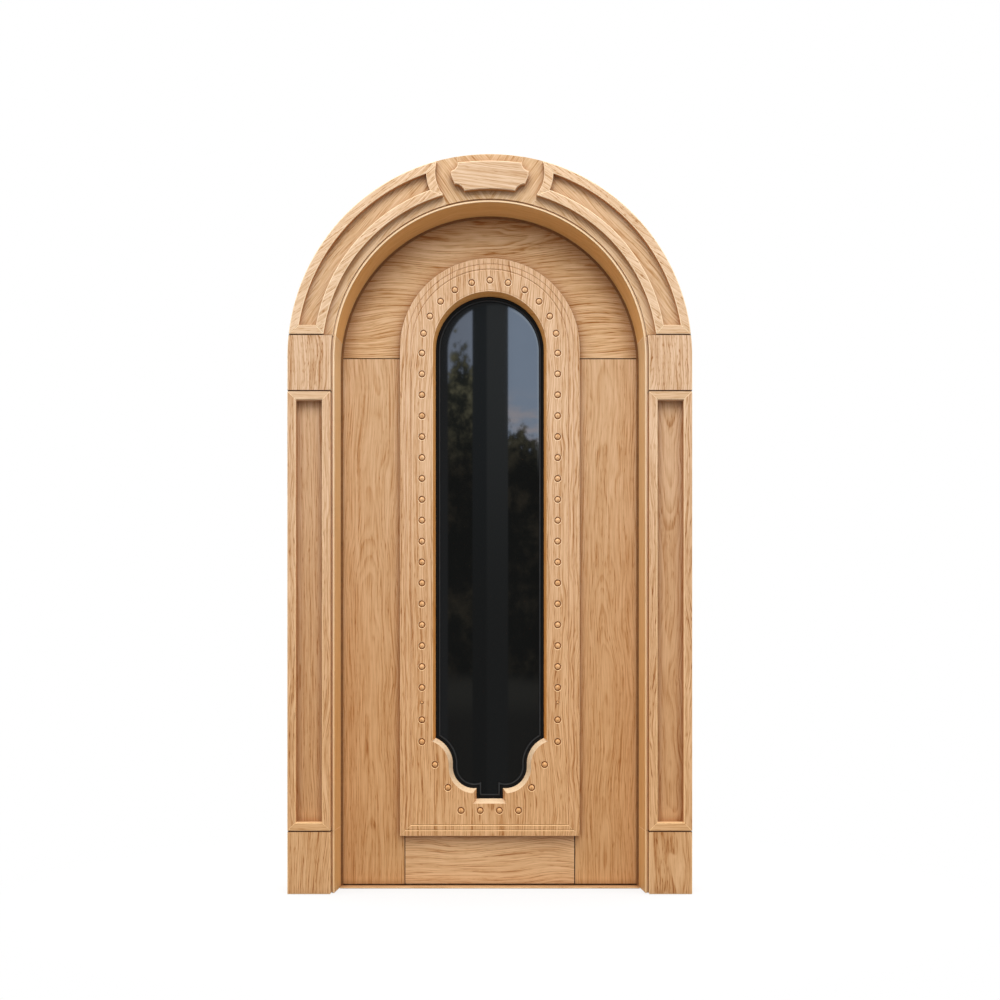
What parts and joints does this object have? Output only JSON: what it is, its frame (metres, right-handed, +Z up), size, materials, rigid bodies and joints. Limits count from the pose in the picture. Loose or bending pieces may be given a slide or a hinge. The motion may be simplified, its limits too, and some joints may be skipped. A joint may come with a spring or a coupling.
{
  "type": "round-headed wooden entrance door with frame",
  "caption": "Arched oak entrance door in its frame, with pilaster casing, deep reveal lining and a leaf with a raised panel, turned buttons and a cusped window.",
  "frame": {"origin": "the middle of the doorway at floor level, in the closing plane: the shut leaf's outer stile face", "axes": "+X to the right seen from outside, +Y into the building, +Z up"},
  "size_m": [1.26, 0.275, 2.31],
  "materials": {
    "oak": "light oak, clear matt oil",
    "reveal_oak": "oak, clear matt oil, a shade darker in the reveal",
    "sill_oak": "oak, worn smooth",
    "turned_oak": "turned oak buttons, end grain",
    "core_board": "raw sheet, never seen",
    "black_rubber": "matt black",
    "black_spacer": "matt black",
    "glass": "clear, dark and mirror-like from outside by day",
    "brushed_steel": "satin stainless"
  },
  "bodies": {
    "frame": {"frame_post_left": "oak", "frame_post_right": "oak", "frame_head": "oak", "threshold": "sill_oak", "plinth_linings": "reveal_oak", "jamb_lining_left": "reveal_oak", "jamb_lining_right": "reveal_oak", "arch_lining": "reveal_oak", "weather_seal": "black_rubber", "keep_plate": "brushed_steel", "plinth_block_left": "oak", "plinth_block_right": "oak", "impost_block_left": "oak", "impost_block_right": "oak", "pilaster_board_left": "oak", "pilaster_board_right": "oak", "pilaster_uprights_left": "oak", "pilaster_uprights_right": "oak", "pilaster_end_strips_left": "oak", "pilaster_end_strips_right": "oak", "arch_bands": "oak", "keystone_boards": "oak", "arch_outer_rims": "oak", "arch_inner_rims": "oak", "arch_end_strips": "oak", "arch_foot_strips": "oak", "crown_boards": "oak", "plaque": "oak", "hinge_frame_plates": "brushed_steel"},
    "leaf": {"stile_left": "oak", "stile_right": "oak", "top_rail": "oak", "bottom_rail": "oak", "bottom_seal": "black_rubber", "outer_panel": "oak", "core_board": "core_board", "inner_panel": "oak", "stud_buttons": "turned_oak", "glass_outer": "glass", "glass_inner": "glass", "glass_edge_bar": "black_spacer", "glazing_bead": "black_rubber", "hinge_leaf_plates": "brushed_steel", "lock_case": "brushed_steel", "lock_faceplate": "brushed_steel", "turn_rose": "brushed_steel", "pull_handle": "brushed_steel"},
    "thumb_turn": {"thumb_turn": "brushed_steel", "lock_cam": "brushed_steel"},
    "deadbolt": {"deadbolt": "brushed_steel"}
  },
  "joints": [
    {"name": "leaf_swing", "type": "hinge", "parent": "frame", "child": "leaf", "pos_m": [-0.49802, 0.077, 0], "axis": [0, 0, 1], "range_deg": [0, 100]},
    {"name": "turn", "type": "hinge", "parent": "leaf", "child": "thumb_turn", "pos_m": [0.43604, 0.034, 0.94], "axis": [0, -1, 0], "range_deg": [0, 90]},
    {"name": "bolt_slide", "type": "slide", "parent": "leaf", "child": "deadbolt", "axis": [1, 0, 0], "range_m": [0, 0.02]}
  ],
  "couplings": [
    {"joint": "turn", "follows": "bolt_slide", "rad_per_m": 78.54}
  ]
}
